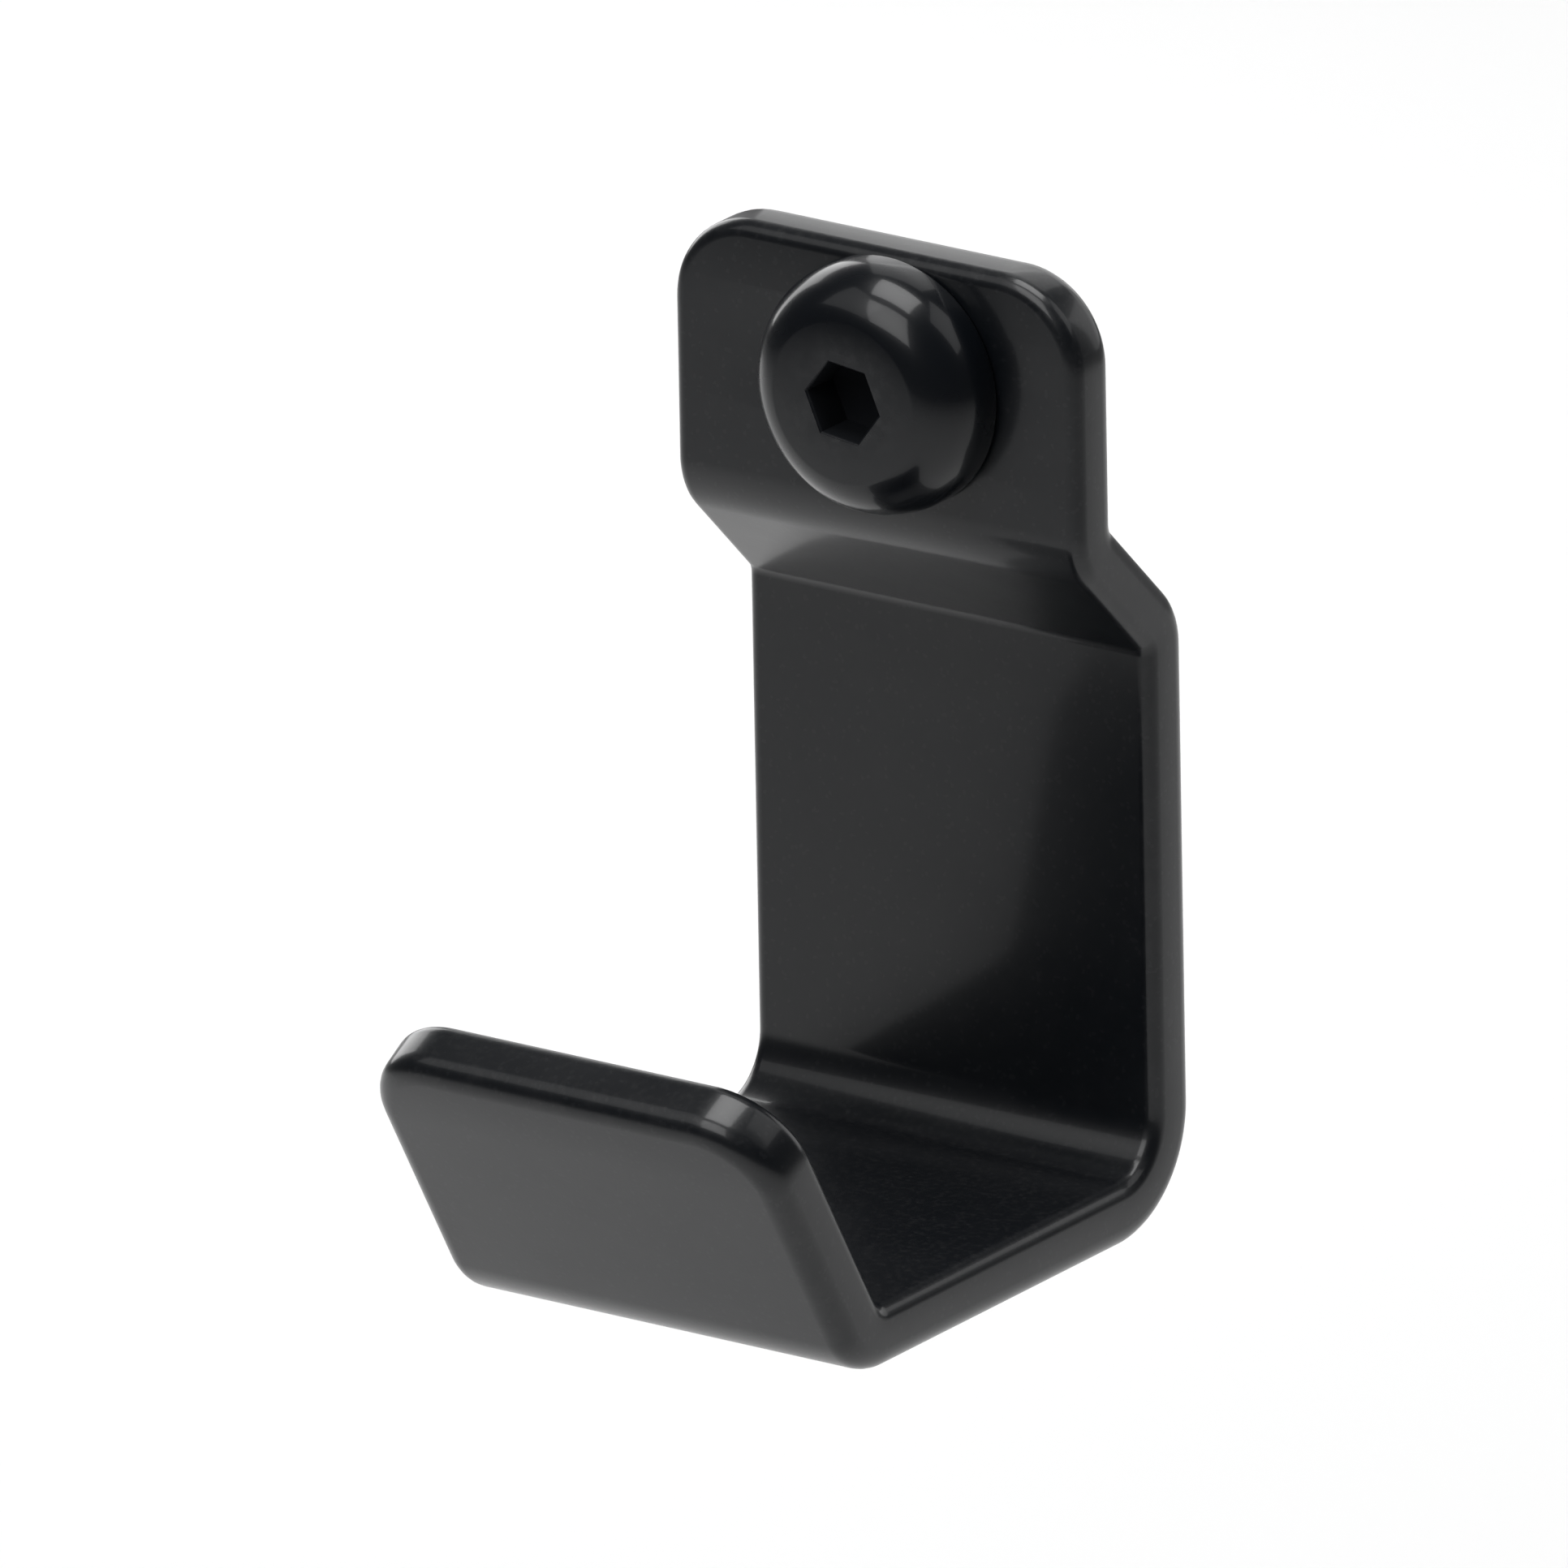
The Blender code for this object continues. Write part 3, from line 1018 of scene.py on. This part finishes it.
@dataclass
class ButtonScrew:
    """The M6 button-head screw: a flat-topped head with a hexagon socket, and a threaded shank."""

    low: Vector
    high: Vector
    finish: BlackScrewFinish
    thread: Thread = field(default_factory=Thread)
    strip_thickness: float = 3.6 * MM
    seat_gap: float = 0.03 * MM
    dome_radius: float = 3.35 * MM
    dome_depth: float = 3.25 * MM
    foot_rounding: float = 0.35 * MM
    socket_flats: float = 4.0 * MM
    socket_depth: float = 2.4 * MM
    socket_cone: float = 0.6 * MM
    socket_rim: float = 0.12 * MM
    socket_turn: float = math.radians(-7)
    lead_in: float = 0.9 * MM
    dome_steps: int = 24
    foot_steps: int = 6
    sides: int = 128
    root_in_head: float = 1.0 * MM
    sharpest: float = math.radians(60)
    flattest: float = math.radians(20)
    crease: float = math.radians(28)

    def build(
        self, tree: bpy.types.GeometryNodeTree, material: bpy.types.Material
    ) -> bpy.types.Object:
        """Turns the head, adds the threaded shank and sinks the socket.

        Args:
            tree: The threaded bar's tree.
            material: The finish, for the bar.

        Returns:
            The piece.
        """
        seat = -self.strip_thickness - self.seat_gap
        piece = lathe("button_screw_black", self._head_profile(seat), self.sides)
        start = seat - self.root_in_head
        shank = self.thread.solid(
            tree, ThreadSide.SCREW, start, self.high.y, self.lead_in, material
        )
        combine(piece, shank, "UNION")
        combine(piece, self._socket(), "DIFFERENCE")
        return piece

    def _head_profile(self, seat: float) -> list[Point]:
        """The head's outline, from the middle of its face round to its underside."""
        face = self.low.y
        radius = (self.high.x - self.low.x) / 2
        foot = rounded(self.foot_rounding, self.foot_steps)
        first = math.acos(self.dome_depth / self.dome_radius)
        steps = self.dome_steps
        arc = [first + (math.radians(90) - first) * step / steps for step in range(steps + 1)]
        profile = [(0.0, face)]
        profile += [
            (
                radius - self.dome_radius * (1 - math.sin(a)),
                face + self.dome_depth - self.dome_radius * math.cos(a),
            )
            for a in arc
        ]
        profile += [(radius - short, seat - rise) for short, rise in reversed(foot)]
        return profile + [(0.0, seat)]

    def _socket_corner(self) -> float:
        """How far the socket's corners stand from the axis."""
        return self.socket_flats / 2 / math.cos(math.radians(30))

    def _socket(self) -> bpy.types.Object:
        """The hexagon that the key fits, with a chamfered mouth and a cone below."""
        corner = self._socket_corner()
        face = self.low.y
        mesh = bmesh.new()
        levels = [
            (corner + self.socket_rim + OVERRUN, face - OVERRUN),
            (corner, face + self.socket_rim),
            (corner, face + self.socket_depth),
        ]
        rings = [
            [
                mesh.verts.new((r * math.cos(a), y, r * math.sin(a)))
                for a in (self.socket_turn + math.radians(60) * n for n in range(6))
            ]
            for r, y in levels
        ]
        tip = mesh.verts.new((0.0, face + self.socket_depth + self.socket_cone, 0.0))
        mesh.faces.new(rings[0])
        for i in range(6):
            for ring, following in zip(rings, rings[1:]):
                mesh.faces.new((ring[i - 1], ring[i], following[i], following[i - 1]))
            mesh.faces.new((rings[-1][i - 1], rings[-1][i], tip))
        return new_piece("socket_hexagon", mesh)

    def _paint_socket(self, piece: bpy.types.Object) -> None:
        """Marks the punched socket, which stays dull, in the punched attribute."""
        near = 0.01 * MM
        widest = self._socket_corner() + near
        first = self.low.y + self.socket_rim - near
        last = self.low.y + self.socket_depth + self.socket_cone + near
        inside = [
            float(math.hypot(vert.co.x, vert.co.z) < widest and first < vert.co.y < last)
            for vert in piece.data.vertices
        ]
        piece.data.attributes.new("punched", "FLOAT", "POINT").data.foreach_set("value", inside)

    def dress(self, effects: Effects, tree: bpy.types.GeometryNodeTree) -> bpy.types.Object:
        """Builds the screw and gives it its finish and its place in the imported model.

        Args:
            effects: The shared node groups.
            tree: The threaded bar's tree.

        Returns:
            The finished piece.
        """
        material = self.finish.material(effects)
        piece = self.build(tree, material)
        paint_edges(piece, self.sharpest, self.flattest)
        self._paint_socket(piece)
        coat(piece, material, self.crease)
        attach(piece, Body.SCREW.value)
        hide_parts("button_screw")
        LOG.info("button screw: %d faces", len(piece.data.polygons))
        return piece


@dataclass
class SlotNut:
    """The slot nut behind the rail's lips: a short flat bar, tapped and plated black."""

    low: Vector
    high: Vector
    finish: BlackZinc
    thread: Thread = field(default_factory=Thread)
    corner_break: float = 1.1 * MM
    edge_break: float = 0.22 * MM
    countersink: float = 0.35 * MM
    bevel_steps: int = 4
    tap_overrun: float = 1.5 * MM
    sink_overrun: float = 0.3 * MM
    sharpest: float = math.radians(45)
    flattest: float = math.radians(10)
    crease: float = math.radians(25)

    def build(
        self, tree: bpy.types.GeometryNodeTree, material: bpy.types.Material
    ) -> bpy.types.Object:
        """Makes the plate, breaks its edges and taps the hole.

        Args:
            tree: The threaded bar's tree.
            material: The finish, for the tapped hole.

        Returns:
            The piece.
        """
        piece = self._plate()
        bevel = piece.modifiers.new("edge_break", "BEVEL")
        bevel.width = self.edge_break
        bevel.segments = self.bevel_steps
        bevel.limit_method = "ANGLE"
        apply_modifiers(piece)
        first, last = self.low.y - self.tap_overrun, self.high.y + self.tap_overrun
        tap = self.thread.solid(tree, ThreadSide.TAP, first, last, 0.0, material)
        combine(piece, tap, "DIFFERENCE")
        for name, mouth, inwards in (("front_sink", self.low.y, 1), ("rear_sink", self.high.y, -1)):
            combine(piece, self._sink(name, mouth, inwards), "DIFFERENCE")
        return piece

    def _plate(self) -> bpy.types.Object:
        """The flat bar with broken corners."""
        length, height = (self.high.x - self.low.x) / 2, (self.high.z - self.low.z) / 2
        short_length, short_height = length - self.corner_break, height - self.corner_break
        outline = [(length, -short_height), (length, short_height)]
        outline += [(short_length, height), (-short_length, height)]
        outline += [(-x, -z) for x, z in outline]
        mesh = bmesh.new()
        faces = [[mesh.verts.new((x, y, z)) for x, z in outline] for y in (self.low.y, self.high.y)]
        for face in faces:
            mesh.faces.new(face)
        for i in range(len(outline)):
            mesh.faces.new((faces[0][i - 1], faces[0][i], faces[1][i], faces[1][i - 1]))
        return new_piece("slot_nut_black", mesh)

    def _sink(self, name: str, mouth: float, inwards: int) -> bpy.types.Object:
        """A cone that breaks the thread's mouth.

        Args:
            name: The cutter's name.
            mouth: The y of the face it starts from.
            inwards: 1 if the hole goes towards +Y there, or -1.

        Returns:
            The cutter.
        """
        wide = self.thread.crest + self.countersink
        narrow = self.thread.root
        over = self.sink_overrun
        depth = wide - narrow
        profile = [
            (0.0, mouth - inwards * over),
            (wide + over, mouth - inwards * over),
            (narrow, mouth + inwards * depth),
            (0.0, mouth + inwards * depth),
        ]
        return lathe(name, profile, FINE_ROUND)

    def dress(self, effects: Effects, tree: bpy.types.GeometryNodeTree) -> bpy.types.Object:
        """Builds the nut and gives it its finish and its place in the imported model.

        Args:
            effects: The shared node groups.
            tree: The threaded bar's tree.

        Returns:
            The finished piece.
        """
        material = self.finish.material(effects)
        piece = self.build(tree, material)
        paint_edges(piece, self.sharpest, self.flattest)
        coat(piece, material, self.crease)
        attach(piece, Body.NUT.value)
        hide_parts("slot_nut")
        LOG.info("slot nut: %d faces", len(piece.data.polygons))
        return piece


# The studio


@dataclass(frozen=True)
class Softbox:
    """A square soft light that faces the hook."""

    name: str
    azimuth: float
    elevation: float
    power: float
    distance: float = 0.70
    side: float = 0.42

    def place(self, target: Vector) -> None:
        """Makes the light, facing the target."""
        data = bpy.data.lights.new(self.name, "AREA")
        data.shape = "SQUARE"
        data.size = self.side
        data.energy = self.power
        light = bpy.data.objects.new(self.name, data)
        away = direction(self.azimuth, self.elevation)
        light.location = target + away * self.distance
        light.rotation_mode = "QUATERNION"
        light.rotation_quaternion = away.to_track_quat("Z", "Y")
        bpy.context.scene.collection.objects.link(light)


def direction(azimuth: float, elevation: float) -> Vector:
    """The way towards a viewer who looks along +Y at azimuth 0, both angles in degrees."""
    a, e = math.radians(azimuth), math.radians(elevation)
    return Vector((math.sin(a) * math.cos(e), -math.cos(a) * math.cos(e), math.sin(e)))


@dataclass
class Studio:
    """The pale floor, the soft lights and the camera."""

    low: Vector
    floor: FloorPaint = field(default_factory=FloorPaint)
    floor_drop: float = 120 * MM
    floor_size: float = 2.4
    floor_cells: int = 8
    view_azimuth: float = 35.397
    view_elevation: float = 19.441
    view_roll: float = 1.05
    view_distance: float = 2.88
    view_target: Vector = field(default_factory=lambda: Vector((-1.39, -12.0, -20.27)) * MM)
    lens: float = 1258.0
    clip: Point = (0.05, 50.0)
    sky: float = 0.06
    softboxes: tuple[Softbox, ...] = (
        Softbox("overhead_softbox", 0, 88, 3.15),
        Softbox("high_front_softbox", 0, 45, 1.83),
        Softbox("high_left_softbox", -40, 45, 0.45),
        Softbox("high_right_softbox", 120, 45, 0.62),
        Softbox("high_rear_softbox", -160, 45, 0.50),
        Softbox("left_softbox", -120, 15, 1.62),
        Softbox("rear_left_softbox", -160, 15, 0.72),
        Softbox("rear_right_softbox", 160, 15, 0.64),
    )

    def build(self) -> None:
        """Makes everything round the hook."""
        self._floor()
        self._sky()
        for box in self.softboxes:
            box.place(self.view_target)
        self._camera()
        bpy.context.scene.view_settings.view_transform = "Standard"
        LOG.info("studio: %d softboxes, floor %.2f m square", len(self.softboxes), self.floor_size)

    def _floor(self) -> None:
        """A plain floor well below the hook, which hangs over it as it does from its rail."""
        mesh = bmesh.new()
        place = Matrix.Translation((0.0, 0.0, self.low.z - self.floor_drop))
        cells = self.floor_cells
        half = self.floor_size / 2
        bmesh.ops.create_grid(mesh, x_segments=cells, y_segments=cells, size=half, matrix=place)
        piece = new_piece("floor", mesh)
        if piece.data.polygons[0].normal.z < 0:
            piece.data.flip_normals()
        piece.data.materials.append(self.floor.material())
        piece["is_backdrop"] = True

    def _sky(self) -> None:
        """Even, dim light from all round."""
        world = bpy.data.worlds.new("studio_air")
        world.use_nodes = True
        air = world.node_tree.nodes["Background"]
        air.inputs["Color"].default_value = (1.0, 1.0, 1.0, 1.0)
        air.inputs["Strength"].default_value = self.sky
        bpy.context.scene.world = world

    def _camera(self) -> None:
        """A long lens on the hook, with the slight roll that leans its uprights."""
        data = bpy.data.cameras.new("camera")
        data.lens = self.lens
        data.clip_start, data.clip_end = self.clip
        camera = bpy.data.objects.new("camera", data)
        away = direction(self.view_azimuth, self.view_elevation)
        camera.location = self.view_target + away * self.view_distance
        turn = away.to_track_quat("Z", "Y").to_matrix().to_4x4()
        roll = Matrix.Rotation(math.radians(-self.view_roll), 4, "Z")
        camera.matrix_world = Matrix.Translation(camera.location) @ turn @ roll
        bpy.context.scene.collection.objects.link(camera)
        bpy.context.scene.camera = camera


def main() -> None:
    """Builds the hook's pieces and the studio."""
    logging.basicConfig(level=logging.INFO, format="%(name)s: %(message)s", stream=sys.stdout)
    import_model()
    cad_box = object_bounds()
    effects = Effects()
    tree = ThreadTree().tree
    HookStrip(*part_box("hook_strip"), finish=PowderCoat()).dress(effects)
    ButtonScrew(*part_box("button_screw"), finish=BlackScrewFinish()).dress(effects, tree)
    SlotNut(*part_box("slot_nut"), finish=BlackZinc()).dress(effects, tree)
    Studio(cad_box[0]).build()


if __name__ == "__main__":
    main()
